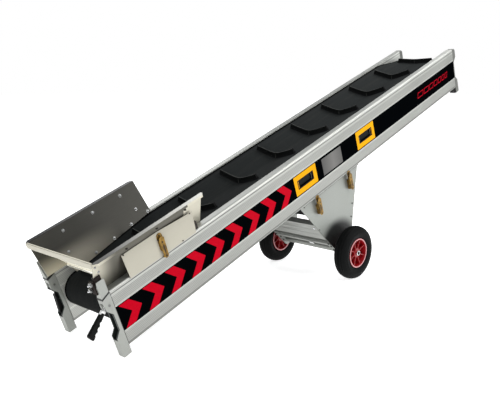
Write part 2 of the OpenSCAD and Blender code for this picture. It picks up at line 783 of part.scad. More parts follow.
color(chrome) on_incline() pair(-1) handle_pin();  // handle_pin_near
color(chrome) on_incline() pair(1) handle_pin();  // handle_pin_far
color(chrome) on_incline() pair(-1) on_pivot(near_handle_swing) handle_stub();  // handle_stub_near
color(black) on_incline() pair(-1) on_pivot(near_handle_swing) handle_grip();  // handle_grip_near
color(chrome) on_incline() pair(1) on_pivot(0) handle_stub();  // handle_stub_far
color(black) on_incline() pair(1) on_pivot(0) handle_grip();  // handle_grip_far
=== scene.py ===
import math

import bmesh
import bpy
from mathutils import Euler, Matrix, Vector


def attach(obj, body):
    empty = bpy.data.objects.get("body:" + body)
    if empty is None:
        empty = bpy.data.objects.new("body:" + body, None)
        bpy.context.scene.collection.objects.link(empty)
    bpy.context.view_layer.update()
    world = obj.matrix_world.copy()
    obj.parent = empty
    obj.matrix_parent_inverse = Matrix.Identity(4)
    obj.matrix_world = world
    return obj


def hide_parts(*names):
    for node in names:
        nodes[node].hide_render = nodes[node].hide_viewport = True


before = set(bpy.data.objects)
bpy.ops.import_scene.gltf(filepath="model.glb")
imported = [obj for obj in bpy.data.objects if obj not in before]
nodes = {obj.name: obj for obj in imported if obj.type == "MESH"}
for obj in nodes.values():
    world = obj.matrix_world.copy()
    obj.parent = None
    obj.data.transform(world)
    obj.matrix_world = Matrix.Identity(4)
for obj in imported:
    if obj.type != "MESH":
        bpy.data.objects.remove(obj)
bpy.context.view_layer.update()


# Studio: camera, white surround, floor and lamps.
# The camera stands off the tail's near corner, a metre up, where the photograph was taken from.
# The floor is pale and matte and keeps the soft shadow; what lies past it is plain white.
scene = bpy.context.scene
scene.view_settings.view_transform = "Standard"
SMOOTH = {"interpolation_type": "SMOOTHSTEP"}


def linear(code):
    """An sRGB hex colour as linear red, green, blue, alpha."""
    parts = [int(code[i:i + 2], 16) / 255 for i in (1, 3, 5)]
    return tuple(p / 12.92 if p <= 0.04045 else ((p + 0.055) / 1.055) ** 2.4 for p in parts) + (1.0,)


def add(tree, kind, x, y, settings=(), **sockets):
    """One shader node; a socket is named by its label, or as i0, i1, ... by its place."""
    node = tree.nodes.new(kind)
    node.location = (x, y)
    for name, value in dict(settings).items():
        setattr(node, name, value)
    for name, value in sockets.items():
        by_place = name[0] == "i" and name[1:].isdigit()
        socket = node.inputs[int(name[1:])] if by_place else node.inputs[name.replace("_", " ")]
        if isinstance(value, bpy.types.NodeSocket):
            tree.links.new(value, socket)
        else:
            socket.default_value = value
    return node


camera = bpy.data.objects.new("camera", bpy.data.cameras.new("camera"))
camera.data.sensor_width = 36
camera.data.lens = 48.16
camera.data.clip_end = 100
camera.location = (-2.5369, -2.0377, 0.9893)
camera.rotation_euler = Euler((math.radians(90 - 10.54), 0, math.radians(42.64 - 90)))
scene.collection.objects.link(camera)
scene.camera = camera

world = bpy.data.worlds.new("studio")
scene.world = world
world.use_nodes = True
surround = world.node_tree
surround.nodes.clear()
path = add(surround, "ShaderNodeLightPath", -600, 200)
seen = add(surround, "ShaderNodeMath", -200, 200, {"operation": "MAXIMUM"},
           i0=path.outputs["Is Camera Ray"], i1=path.outputs["Is Transmission Ray"])
fill = add(surround, "ShaderNodeBackground", -200, 0, Color=linear("#E6EAEE"), Strength=0.42)
white = add(surround, "ShaderNodeBackground", -200, -200, Color=(1, 1, 1, 1), Strength=1.0)
both = add(surround, "ShaderNodeMixShader", 100, 0, i0=seen.outputs[0], i1=fill.outputs[0], i2=white.outputs[0])
add(surround, "ShaderNodeOutputWorld", 400, 0, Surface=both.outputs[0])

# The floor glows a little near the machine and fully white far off, so it has no horizon.
bpy.ops.mesh.primitive_plane_add(size=60, location=(0, 0, -0.0005))
floor = bpy.context.object
floor.name = "floor"
floor_material = bpy.data.materials.new("white studio floor")
floor_material.use_nodes = True
tree = floor_material.node_tree
tree.nodes.clear()
place = add(tree, "ShaderNodeTexCoord", -1100, 0)
away = add(tree, "ShaderNodeVectorMath", -900, 0, {"operation": "LENGTH"}, i0=place.outputs["Object"])
glow = add(tree, "ShaderNodeMapRange", -700, 0, SMOOTH,
           Value=away.outputs["Value"], i1=1.2, i2=3.4, i3=0.75, i4=1.0)
matte = add(tree, "ShaderNodeBsdfDiffuse", -400, 100, Color=linear("#F2F2F2"))
light = add(tree, "ShaderNodeEmission", -400, -100, Color=(1, 1, 1, 1), Strength=glow.outputs[0])
summed = add(tree, "ShaderNodeAddShader", -150, 0, i0=matte.outputs[0], i1=light.outputs[0])
add(tree, "ShaderNodeOutputMaterial", 100, 0, Surface=summed.outputs[0])
floor.data.materials.append(floor_material)


def lamp(name, place, aim, size, power):
    """A square area lamp, out of the camera's sight."""
    data = bpy.data.lights.new(name, "AREA")
    data.shape = "SQUARE"
    data.size = size
    data.energy = power
    holder = bpy.data.objects.new(name, data)
    holder.location = place
    holder.rotation_euler = (Vector(aim) - Vector(place)).to_track_quat("-Z", "Y").to_euler()
    holder.visible_camera = False
    scene.collection.objects.link(holder)
    return holder


lamps = [
    lamp("key lamp", (-0.9, -2.2, 4.6), (0, 0, 0.5), 2.2, 82),
    lamp("front lamp", (2.4, -4.4, 2.4), (0.5, 0, 0.5), 2.2, 118),
    lamp("back lamp", (1.0, 3.6, 3.4), (0, 0, 0.5), 2.4, 50),
    lamp("top lamp", (1.9, 0.0, 3.6), (0.9, 0, 0.8), 2.2, 78),
    lamp("tail lamp", (-3.6, -0.9, 1.3), (-1.1, 0, 0.2), 1.6, 34),
]


# Side beams, legs and posts: anodised aluminium extrusions, finely ribbed along their sides, cut square
# and joined by end posts. Here too are the beams' own axes, in which every later piece is placed:
# x from the tail along the beams, y across and z square to them, in millimetres.
TILT = math.radians(19.65)
CORNER = (-1.169014, 0.0, 0.045068)
SIDES = ((-1, "near"), (1, "far"))
BEAM_LENGTH = 2608.0
BEAM_HEIGHT = 230.0
HALF = 192.0  # half of the frame's width, to the beams' outer faces
MULTIPLIED = {"data_type": "RGBA", "blend_type": "MULTIPLY"}
beam_axes = Matrix.Translation(CORNER) @ Matrix.Rotation(-TILT, 4, "Y")


def along_beams(tree, x, y):
    """Object coordinates turned into the beams' axes, in metres."""
    place = add(tree, "ShaderNodeTexCoord", x - 200, y)
    return add(tree, "ShaderNodeMapping", x, y, {"vector_type": "TEXTURE"}, Vector=place.outputs["Object"],
               Location=CORNER, Rotation=(0, -TILT, 0)).outputs[0]


def stretched(tree, x, y, vector, sizes, detail=4.0):
    """Noise with grains of the given size in millimetres along each of the beams' axes."""
    scaled = add(tree, "ShaderNodeVectorMath", x, y, {"operation": "MULTIPLY"},
                 i0=vector, i1=tuple(1000 / s for s in sizes))
    return add(tree, "ShaderNodeTexNoise", x + 200, y, Vector=scaled.outputs[0], Scale=1.0, Detail=detail,
               Roughness=0.6).outputs[0]


def shaded(tree, x, y, base, factor, spread):
    """A colour made darker and lighter by that share, following a factor from 0.3 to 0.7."""
    share = add(tree, "ShaderNodeMapRange", x, y, Value=factor, i1=0.3, i2=0.7, i3=1 - spread, i4=1 + spread)
    start = base if isinstance(base, bpy.types.NodeSocket) else linear(base)
    return add(tree, "ShaderNodeMix", x + 200, y, MULTIPLIED, i0=1.0, i6=start, i7=share.outputs[0]).outputs[2]


def material(name, base, rough, metal=0.0, grain=(2, 2, 2), spread=0.05, bump=0.0, gloss=0.5, shade=None):
    """A surface with fine grain in its colour and relief, and broad patches in its colour and roughness.

    grain is in millimetres along the beams' axes, gloss is the strength of the clear reflection, and shade
    is a function that changes the colour further.
    """
    made = bpy.data.materials.new(name)
    made.use_nodes = True
    tree = made.node_tree
    tree.nodes.clear()
    shader = add(tree, "ShaderNodeBsdfPrincipled", 700, 0, Metallic=metal, Specular_IOR_Level=gloss)
    add(tree, "ShaderNodeOutputMaterial", 1000, 0, Surface=shader.outputs[0])
    vector = along_beams(tree, -900, 0)
    fine = stretched(tree, -700, 0, vector, grain)
    broad = stretched(tree, -700, -300, vector, (180, 120, 120), 3.0)
    colour = shaded(tree, -300, 100, shaded(tree, -300, 300, base, broad, spread * 0.7), fine, spread)
    if shade:
        colour = shade(tree, vector, colour)
    tree.links.new(colour, shader.inputs["Base Color"])
    uneven = add(tree, "ShaderNodeMapRange", -300, -200, Value=broad, i1=0.3, i2=0.7,
                 i3=max(rough - 0.06, 0.03), i4=rough + 0.06)
    tree.links.new(uneven.outputs[0], shader.inputs["Roughness"])
    if bump:
        relief = add(tree, "ShaderNodeBump", 300, -400, Strength=bump, Distance=0.0004, Height=fine)
        tree.links.new(relief.outputs[0], shader.inputs["Normal"])
    return made


def dress(look, *names):
    """Gives a material to CAD pieces."""
    for name in names:
        for held in nodes[name].material_slots:
            held.material = look


def soften(obj, width, segments=2):
    """Small rounded edges, in millimetres, which catch the light."""
    weld = obj.modifiers.new("weld", "WELD")
    weld.merge_threshold = 0.00001
    bevel = obj.modifiers.new("rounded edges", "BEVEL")
    bevel.width = width / 1000
    bevel.segments = segments
    bevel.limit_method = "ANGLE"
    bevel.angle_limit = math.radians(40)
    bevel.harden_normals = True


def mesh_piece(name, points, faces, look, body="frame", smooth=35):
    """A piece from points in the beams' axes; edges turn sharp past the given angle."""
    mesh = bpy.data.meshes.new(name)
    mesh.from_pydata([beam_axes @ (Vector(p) / 1000) for p in points], [], faces)
    shape = bmesh.new()
    shape.from_mesh(mesh)
    bmesh.ops.recalc_face_normals(shape, faces=shape.faces)
    for edge in shape.edges:
        edge.smooth = len(edge.link_faces) == 2 and edge.calc_face_angle(0) < math.radians(smooth)
    for face in shape.faces:
        face.smooth = True
    shape.to_mesh(mesh)
    shape.free()
    made = bpy.data.objects.new(name, mesh)
    scene.collection.objects.link(made)
    mesh.materials.append(look)
    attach(made, body)
    return made


def skin(rows, columns, start=0, closed=False):
    """Faces between rows of points, each row a closed outline; closed joins the last row to the first."""
    return [(start + i * columns + j, start + i * columns + (j + 1) % columns,
             start + (i + 1) % rows * columns + (j + 1) % columns, start + (i + 1) % rows * columns + j)
            for i in range(rows if closed else rows - 1) for j in range(columns)]


def ends(rows, columns, start=0):
    """Flat faces over the first and the last of such rows."""
    return [tuple(start + row * columns + j for j in range(columns)) for row in (0, rows - 1)]


def slabs(name, outlines, low, high, look, side=1):
    """Flat plates joined in one piece: outlines in x and z, each standing from y = low to high on a side."""
    points, faces = [], []
    for outline in outlines:
        faces += ends(2, len(outline), len(points)) + skin(2, len(outline), len(points))
        points += [(x, side * y, z) for y in (low, high) for x, z in outline]
    return mesh_piece(name, points, faces, look)


def turned(name, profile, places, look, segments=24):
    """Turned pieces joined in one mesh: a profile of radius and height, set at each (centre, axis)."""
    points, faces = [], []
    for centre, axis in places:
        faces += skin(len(profile), segments, len(points)) + ends(len(profile), segments, len(points))
        turn = Vector((0, 0, 1)).rotation_difference(Vector(axis)).to_matrix()
        for radius, height in profile:
            for k in range(segments):
                angle = 2 * math.pi * k / segments
                spot = Vector((radius * math.cos(angle), radius * math.sin(angle), height))
                points.append(Vector(centre) + turn @ spot)
    return mesh_piece(name, points, faces, look)


# the faces of a box whose corners are counted through z first, then y, then x
BOX = ((0, 1, 3, 2), (4, 6, 7, 5), (0, 4, 5, 1), (2, 3, 7, 6), (0, 2, 6, 4), (1, 5, 7, 3))


def boxes(name, spans, look, side=1, width=0.0):
    """Boxes on a side joined in one piece, each as (low corner, high corner); width rounds their edges."""
    points, faces = [], []
    for low, high in spans:
        faces += [tuple(len(points) + i for i in face) for face in BOX]
        points += [(x, side * y, z) for x in (low[0], high[0]) for y in (low[1], high[1]) for z in (low[2], high[2])]
    made = mesh_piece(name, points, faces, look)
    if width:
        soften(made, width)
    return made


# height over the beam's underside in mm, and how light the anodised face is painted there, for its highlights and
# shade
LIGHT_AND_SHADE_BANDS = [(0, 0.85), (3, 0.85), (5, 0.55), (9, 0.55), (10.5, 1.0), (50, 1.0), (52, 1.2), (59, 1.35), (60, 1.0),
         (160, 1.0), (161, 1.2), (167, 1.35), (169, 1.0), (203, 0.97), (206, 1.2), (212, 1.25), (213.5, 0.7),
         (218, 0.7), (219.5, 1.2), (226, 1.45), (228.6, 0.95)]
LIGHTEST = 1.55  # what full white on the ramp of the bands stands for
RIB_PITCH = 6.2  # real ribs lie about 4 mm apart; they are drawn coarser, since they would be too fine to show
# faces nearer to the middle than INNER_FACE are drawn lighter, as painted bounce light from below
INNER_FACE = 156.5  # faces nearer to the middle than this look toward the belt, and are paler


def ribs_with_painted_light(tree, vector, colour):
    """Fine ribs as painted light and dark lines in the side's flat bands, with painted highlights and shade at the
    profile's steps.
    """
    parts = add(tree, "ShaderNodeSeparateXYZ", -100, 700, Vector=vector)
    high = add(tree, "ShaderNodeMapRange", 50, 700,
               Value=parts.outputs["Z"], i1=0.0, i2=BEAM_HEIGHT / 1000, i3=0.0, i4=1.0)
    bands = add(tree, "ShaderNodeValToRGB", 200, 700, Fac=high.outputs[0])
    ramp = bands.color_ramp
    ramp.elements[1].position = LIGHT_AND_SHADE_BANDS[-1][0] / BEAM_HEIGHT
    for place, _ in LIGHT_AND_SHADE_BANDS[1:-1]:
        ramp.elements.new(place / BEAM_HEIGHT)
    for stop, (_, light) in zip(ramp.elements, LIGHT_AND_SHADE_BANDS):
        stop.color = (light / LIGHTEST, light / LIGHTEST, light / LIGHTEST, 1)
    turns = add(tree, "ShaderNodeMath", 50, 500, {"operation": "MULTIPLY"},
                i0=parts.outputs["Z"], i1=1000 / RIB_PITCH * 2 * math.pi)
    wave = add(tree, "ShaderNodeMath", 200, 500, {"operation": "SINE"}, i0=turns.outputs[0])
    fine = add(tree, "ShaderNodeMapRange", 350, 500, Value=wave.outputs[0], i1=-1.0, i2=1.0, i3=1.22, i4=1.72)
    bright = add(tree, "ShaderNodeVectorMath", 500, 600, {"operation": "MULTIPLY"},
                 i0=bands.outputs[0], i1=fine.outputs[0])
    lines = add(tree, "ShaderNodeMix", 650, 500, MULTIPLIED, i0=1.0, i6=colour, i7=bright.outputs[0])
    # painted light: the side is drawn darker toward the tail and lighter toward the head, and the inner faces lighter
    along = add(tree, "ShaderNodeMapRange", 500, 300, Value=parts.outputs["X"], i1=0.6, i2=2.6, i3=0.86, i4=1.05)
    wide = add(tree, "ShaderNodeMath", 350, 150, {"operation": "ABSOLUTE"}, i0=parts.outputs["Y"])
    inner = add(tree, "ShaderNodeMath", 500, 150, {"operation": "LESS_THAN"},
                i0=wide.outputs[0], i1=INNER_FACE / 1000)
    paler = add(tree, "ShaderNodeMath", 650, 200, {"operation": "MULTIPLY_ADD"},
                i0=inner.outputs[0], i1=0.4, i2=along.outputs[0])
    return add(tree, "ShaderNodeMix", 800, 500, MULTIPLIED,
               i0=1.0, i6=lines.outputs[2], i7=paler.outputs[0]).outputs[2]


# Anodised aluminium: a soft grey sheen, drawn out along the extrusion. The cast posts are rougher and darker.
aluminium = material("anodised aluminium extrusion", "#A6A7A2", 0.40, metal=0.55, grain=(60, 2, 1), spread=0.04,
                     bump=0.1, shade=ribs_with_painted_light)
bare_aluminium = material("anodised aluminium", "#8F918C", 0.42, metal=0.5, grain=(3, 3, 12), spread=0.04,
                          bump=0.1)
dress(aluminium, "beam_near", "beam_far")
dress(bare_aluminium, *[n for n in nodes if n.startswith(("leg_near", "leg_far", "corner_post", "cross_tie"))])
cast_grey = material("grey cast aluminium", "#666763", 0.5, metal=0.4, grain=(2, 2, 2), spread=0.08, bump=0.3)
dress(cast_grey, "head_post_near", "head_post_far")
for name in ("leg_near", "leg_far", "head_post_near", "head_post_far", "corner_post_near", "corner_post_far"):
    soften(nodes[name], 1.0)

# Dark lines of painted shade in the joints where the beam meets the leg and the head post, and dark bands round the
# gasket over the leg.
seam_shade_and_gasket_black = material("dark joint line", "#0A0A0A", 0.6)
for side, tag in SIDES:
    joints = [((-0.8, 190, 0), (0.8, HALF + 0.15, 226)),
              ((BEAM_LENGTH - 0.6, 190, 0), (BEAM_LENGTH + 0.6, HALF + 0.15, 60))]
    boxes("joint_shade_lines_" + tag, joints, seam_shade_and_gasket_black, side)
    band, back = [(-36.4, 211), (-36.4, 218), (0, 231), (0, 224)], [(-36.4, 209), (-36.4, 218), (0, 231), (0, 222)]
    slabs("gasket_bands_" + tag, [band], 191.5, 192.4, seam_shade_and_gasket_black, side)
    slabs("gasket_backs_" + tag, [back], 159.4, 160, seam_shade_and_gasket_black, side)
    boxes("gasket_fronts_" + tag, [((-36.6, 160, 210), (-36, 192.3, 218))], seam_shade_and_gasket_black, side)


# Side panels: a satin black strip lies in the seat of each beam. Its bold graphic is a plain row of red
# arrowheads toward the discharge end, with a row of plain outlined marks further up; yellow frames mark
# the hand holds, and a bare grey label sits between them. All of it is film, 0.3 mm thick, stuck on.
SEAT = 191.0  # how far out the black strip's face lies
FILM = 0.3
STRIP_LOW, STRIP_HIGH = 59.5, 161.5
HOLDS = (1112, 1621)  # middles of the hand holds along the beam
HOLD_HALF = 55
HEADS, HEAD_PITCH = 9, 112.5
MARKS = ((2160, 62), (2232, 54), (2296, 46), (2352, 40), (2402, 34), (2446, 30), (2486, 26))  # start, width
panel_black = material("satin black vinyl strip", "#030405", 0.5, grain=(4, 4, 4), spread=0.1,
                       bump=0.05, gloss=0.0)
dress(panel_black, "panel_near", "panel_far")
red_film = material("red film", "#A80018", 0.5, grain=(6, 6, 6), spread=0.04, gloss=0.02)
yellow_film = material("yellow film", "#D69600", 0.5, grain=(6, 6, 6), spread=0.03, gloss=0.05)


def rectangle(x0, x1, z0, z1):
    return [(x0, z0), (x1, z0), (x1, z1), (x0, z1)]


def arrowhead(x, low, high, stroke, tip):
    """A broad arrowhead that points up the beam."""
    middle = (low + high) / 2
    return [(x, low), (x + stroke, low), (x + stroke + tip, middle), (x + stroke, high), (x, high), (x + tip, middle)]


def strips_between(outside, inside):
    """Four strips that fill the band between two four-cornered outlines."""
    return [[outside[k], outside[(k + 1) % 4], inside[(k + 1) % 4], inside[k]] for k in range(4)]


def leaning_ring(x, low, high, width, lean, stroke):
    """Four strips round a leaning outline, for the row of plain marks toward the head."""
    share = lean / (high - low)
    wide, thin = stroke * (1 + share), stroke * (1 - share)
    outside = [(x, low), (x + width, low), (x + width + lean, high), (x + lean, high)]
    inside = [(x + wide, low + stroke), (x + width - thin, low + stroke),
              (x + width + lean - wide, high - stroke), (x + lean + thin, high - stroke)]
    return strips_between(outside, inside)


def ring_of(x, z, outer, inner):
    """Four strips mitred round an opening, each size as half of its length and half of its height."""
    return strips_between(rectangle(x - outer[0], x + outer[0], z - outer[1], z + outer[1]),
                          rectangle(x - inner[0], x + inner[0], z - inner[1], z + inner[1]))


def label_fade(tree, vector, colour):
    """The grey film label is lighter toward its middle."""
    parts = add(tree, "ShaderNodeSeparateXYZ", -100, 500, Vector=vector)
    off = add(tree, "ShaderNodeMath", 50, 500, {"operation": "SUBTRACT"}, i0=parts.outputs["X"], i1=1.335)
    size = add(tree, "ShaderNodeMath", 200, 500, {"operation": "ABSOLUTE"}, i0=off.outputs[0])
    fade = add(tree, "ShaderNodeMapRange", 350, 500, Value=size.outputs[0], i1=0.0, i2=0.09, i3=1.0, i4=0.35)
    return add(tree, "ShaderNodeMix", 500, 500, MULTIPLIED, i0=1.0, i6=colour, i7=fade.outputs[0]).outputs[2]


label_film = material("grey film label", "#5C5B58", 0.45, grain=(3, 3, 3),
                      spread=0.08, gloss=0.4, shade=label_fade)
for side, tag in SIDES:
    holes = [(x - HOLD_HALF, x + HOLD_HALF) for x in HOLDS]
    spans = [(0.9, holes[0][0]), (holes[0][1], holes[1][0]), (holes[1][1], 2607)]
    borders = [rectangle(low, high, z, z + 29) for low, high in spans for z in (STRIP_LOW, STRIP_HIGH - 29)]
    borders += [rectangle(low, high, STRIP_LOW + 29, STRIP_HIGH - 29) for low, high in spans]
    borders += [rectangle(low, high, z, z + 8) for low, high in holes for z in (STRIP_LOW, STRIP_HIGH - 8)]
    slabs("strip_borders_" + tag, borders, SEAT - 0.1, HALF + 0.1, panel_black, side)
    heads = [arrowhead(12 + HEAD_PITCH * i, 61.5, 158, 47, 46) for i in range(HEADS)]
    marks = [strip for x, width in MARKS for strip in leaning_ring(x, 97, 127, width, 10, 3.4)]
    slabs("red_graphic_" + tag, heads + marks, HALF, HALF + FILM, red_film, side)
    frames = ring_of(HOLDS[0] + 2, 111, (83, 46), (54, 21)) + ring_of(HOLDS[1], 111.5, (81.5, 46), (54, 21))
    slabs("hold_frames_" + tag, frames, SEAT - 0.1, HALF + FILM + 0.05, yellow_film, side)
    slabs("film_label_" + tag, [rectangle(1246, 1405, 68, 150)], HALF, HALF + FILM, label_film, side)


# Carry grips: black moulded pockets behind the side panel, each with a folding pull on two grey steel pins.
# The same matte plastic makes the lift grips, the return rails and the block on the undercarriage; the
# liners of the hand notches are of a greyer, shinier one.
black_plastic = material("black moulded plastic", "#060707", 0.45, grain=(1.5, 1.5, 1.5), spread=0.1,
                         bump=0.3, gloss=0.08)
# The block on the undercarriage is partly painted shade: it stands dark where there is shade between the plates.
dress(black_plastic, *[n for n in nodes if n.startswith(("carry_grip", "handle_grip", "return_rail", "top_cross"))])
liner_plastic = material("dark grey moulded plastic", "#1C211F", 0.4, grain=(1.5, 1.5, 1.5), spread=0.1,
                         bump=0.3, gloss=0.35)
dress(liner_plastic, "notch_liner_near", "notch_liner_far")
bright_zinc = material("bright zinc plating", "#D2D3D4", 0.16, metal=1.0, grain=(5, 5, 5), spread=0.04)
pin_grey = material("grey steel pin", "#6E6E6C", 0.4, metal=0.8, grain=(5, 5, 5), spread=0.04)
for side, tag in SIDES:
    pulls = [((x - 41, 176, 98), (x + 41, 186, 125)) for x in HOLDS]
    boxes("grip_pulls_" + tag, pulls, black_plastic, side, width=3.0)
    pins = [((x + end * 48, side * 188, 96.5), (0, 0, 1)) for x in HOLDS for end in (-1, 1)]
    turned("grip_pins_" + tag, [(0.9, 0), (0.9, 30)], pins, pin_grey, segments=10)


# Leg gaskets and buffers: soft black rubber, matte, pressed between the legs and the beams' tail ends and
# pushed under the beams' head ends.
soft_rubber = material("black rubber", "#060606", 0.65, grain=(2, 2, 2), spread=0.08, bump=0.3, gloss=0.12)
dress(soft_rubber, *[n for n in nodes if n.startswith(("leg_gasket", "head_buffer"))])


# Lift handles: a bright fork on a pin through the leg, and a moulded grip with finger notches that folds
# into the leg's lined pocket. A square collar holds each grip on its fork.
PIVOT = (-18, 176, 181)
SWINGS = {"near": 53, "far": 0}  # degrees out of the leg, as the solids stand at rest
bright_steel = material("bright steel", "#E2E2E0", 0.3, metal=0.35, grain=(5, 5, 5), spread=0.04)
dress(bright_steel, "handle_stub_near", "handle_stub_far")
dress(pin_grey, "handle_pin_near", "handle_pin_far")
for side, tag in SIDES:
    turn = Matrix.Rotation(math.radians(SWINGS[tag]), 3, "Y")
    pivot = Vector((PIVOT[0], side * PIVOT[1], PIVOT[2]))
    corners = [turn @ Vector((x, y, z)) + pivot for x in (-11, 6) for y in (-6.4, 6.4) for z in (-39, -24)]
    soften(mesh_piece("handle_collar_" + tag, corners, BOX, bright_steel, "lift_handle_" + tag), 1.5)
for name in ("handle_grip_near", "handle_grip_far"):
    soften(nodes[name], 2.2, 3)


# Belt: one endless black rubber band, troughed on its carrying run, with straight moulded cleats in a V.
# Each cleat is thick at its foot, thin at its crest and slants in at its ends. The rubber is matte, with a
# little dust.
TAIL, HEAD, DRUM_Z, REACH = 73.0, 2548.0, 115.0, 70.0  # drum centres, and from there to the belt's face
RUN = HEAD - TAIL
WRAP = math.pi * REACH
LOOP = 2 * (RUN + WRAP)
BELT_WIDTH, BELT_THICK = 302.0, 5.0
TROUGH, SOFT = 41.0, 22.0  # the trough's depth, and how softly its middle is rounded
BLENDED = {"data_type": "RGBA"}


def trough_share(x):
    """How much of the trough there is at a station, from 0 over the drums to 1."""
    share = max(0.0, min(1.0, (x - TAIL) / (RUN / 6), (HEAD - x) / (RUN / 12)))
    return share * share * (3 - 2 * share) * 0.35 + share * 0.65


def rise(y):
    """How high the full trough stands over its middle, rounded there and straight toward the edges."""
    return TROUGH * (math.hypot(y, SOFT) - SOFT) / (math.hypot(BELT_WIDTH / 2, SOFT) - SOFT)


def loop_place(s):
    """Origin, direction of travel and outward direction at s along the loop, each as (x, z)."""
    if s < RUN:
        return (TAIL + s, DRUM_Z + REACH), (1, 0), (0, 1)
    if s < RUN + WRAP:
        turn, centre = (s - RUN) / REACH, HEAD
    elif s < 2 * RUN + WRAP:
        return (HEAD - (s - RUN - WRAP), DRUM_Z - REACH), (-1, 0), (0, -1)
    else:
        turn, centre = math.pi + (s - 2 * RUN - WRAP) / REACH, TAIL
    out = (math.sin(turn), math.cos(turn))
    return (centre + REACH * out[0], DRUM_Z + REACH * out[1]), (math.cos(turn), -math.sin(turn)), out


def loop_point(s, y, up, ahead=0.0):
    """A point at s along the loop, y across it, and so far up from its face and ahead along it."""
    (x, z), travel, out = loop_place(s)
    lift = up + (trough_share(x) * rise(y) if s < RUN else 0)
    return (x + ahead * travel[0] + lift * out[0], y, z + ahead * travel[1] + lift * out[1])


def belt_dust_and_edge_shade(tree, vector, colour):
    """Pale dust in long faint streaks, the colour darker toward the tail, and painted shade on its edges beside the
    beams.
    """
    streak = stretched(tree, -100, 700, vector, (400, 9, 400), 3.0)
    dusty = add(tree, "ShaderNodeMapRange", 200, 700, Value=streak, i1=0.5, i2=0.75, i3=0.0, i4=0.05)
    dust = add(tree, "ShaderNodeMix", 350, 700, BLENDED, i0=dusty.outputs[0], i6=colour, i7=linear("#6A655C"))
    parts = add(tree, "ShaderNodeSeparateXYZ", -100, 900, Vector=vector)
    out = add(tree, "ShaderNodeMath", 50, 900, {"operation": "ABSOLUTE"}, i0=parts.outputs["Y"])
    # painted shade: the belt's edges beside the beams are drawn nearly black
    edge = add(tree, "ShaderNodeMapRange", 200, 900, Value=out.outputs[0], i1=0.138, i2=0.143, i3=1.0, i4=0.05)
    up = add(tree, "ShaderNodeMapRange", 200, 1050, Value=parts.outputs["X"], i1=0.2, i2=1.4, i3=0.55, i4=1.0)
    both = add(tree, "ShaderNodeMath", 350, 950, {"operation": "MULTIPLY"}, i0=edge.outputs[0], i1=up.outputs[0])
    return add(tree, "ShaderNodeMix", 500, 700, MULTIPLIED,
               i0=1.0, i6=dust.outputs[2], i7=both.outputs[0]).outputs[2]


stations = [RUN * i / 72 for i in range(72)] + [RUN + WRAP * i / 28 for i in range(28)]
stations += [RUN + WRAP + RUN * i / 8 for i in range(8)] + [2 * RUN + WRAP + WRAP * i / 28 for i in range(28)]
across = [BELT_WIDTH * (i / 28 - 0.5) for i in range(29)]
outline = [(y, 0.0) for y in across] + [(y, -BELT_THICK) for y in reversed(across)]
points = [loop_point(s, y, up) for s in stations for y, up in outline]
belt_rubber = material("conveyor belt rubber", "#232525", 0.6, grain=(1.2, 1.2, 1.2), spread=0.12, bump=0.3,
                       gloss=0.01, shade=belt_dust_and_edge_shade)
belt = mesh_piece("belt_band", points, skin(len(stations), len(outline), closed=True), belt_rubber, smooth=32)
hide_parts("belt")

# The cleats, with pale strips along their crests and a painted highlight down their middle seam.
CLEATS, CLEAT_HALF, CLEAT_HIGH = 20, 112.0, 24.0
LEAD = 4.0  # how far a cleat's ends run ahead of its middle
CLEAT_ENDS = 5.0  # how far the ends slant in
STEPS = 8  # from a cleat's middle to its end
section = [(-11, -1.0), (-8, 0.8), (-6, 4), (-4.4, 12), (-3.6, CLEAT_HIGH - 1), (-2.6, CLEAT_HIGH),
           (2.6, CLEAT_HIGH), (3.6, CLEAT_HIGH - 1), (4.4, 12), (6, 4), (8, 0.8), (11, -1.0)]
cleat_places = [(RUN - 40) % (LOOP / CLEATS) + i * LOOP / CLEATS for i in range(CLEATS)]


def cleat_point(s, y, up, ahead, shift):
    """A point on a cleat's bar, moved across by shift."""
    x, _, z = loop_point(s, y, up, ahead + LEAD * abs(y) / CLEAT_HALF)
    return (x, y + shift, z)


points, faces = [], []
rows, columns = STEPS + 1, len(section)
for s in cleat_places:
    for side in (-1, 1):
        faces += skin(rows, columns, len(points)) + ends(rows, columns, len(points))
        for k in range(rows):
            for ahead, up in section:
                slant = side * CLEAT_ENDS * (1 - 2 * up / CLEAT_HIGH) * (k == STEPS)
                points.append(cleat_point(s, side * CLEAT_HALF * k / STEPS, up, ahead, slant))
# The cleats' rubber is drawn darker than the belt's, as painted shade on their sides.
shaded_cleat_rubber = material("cleat rubber with painted shade", "#0B0C0C", 0.55, grain=(1.2, 1.2, 1.2), spread=0.12,
                        bump=0.3, gloss=0.06)
mesh_piece("belt_cleats", points, faces, shaded_cleat_rubber, smooth=32)

# pale strips on the crests, and a painted highlight down each cleat's middle seam
points, faces = [], []
for s in cleat_places:
    faces += [tuple(len(points) + 2 * k + i for i in (0, 1, 3, 2)) for k in range(3)]
    points += [loop_point(s, y, up, ahead) for up, ahead in ((1.5, -8.0), (4, -6.2), (12, -4.7), (18.5, -3.9))
               for y in (-1.1, 1.1)]
    for side in (-1, 1):
        for k in range(STEPS):
            faces.append(tuple(len(points) + i for i in (0, 1, 3, 2)))
            for step in (k, k + 1):
                shift = -side * CLEAT_ENDS * (step == STEPS)
                points += [cleat_point(s, side * CLEAT_HALF * step / STEPS, CLEAT_HIGH + 0.15, ahead, shift)
                           for ahead in (-2.4, 0.6)]
pale_line_rubber = material("pale line rubber", "#3C3E3B", 0.7, grain=(2, 2, 2), spread=0.1, gloss=0.1)
mesh_piece("cleat_pale_lines", points, faces, pale_line_rubber)


# Drums and the sheet bed under the trough: bare steel, turned or rolled, with fine lines along it.
bare_steel = material("bare steel", "#8C8C88", 0.35, metal=1.0, grain=(40, 2, 2), spread=0.06)
dress(bare_steel, "tail_drum", "head_drum", "slider_bed")


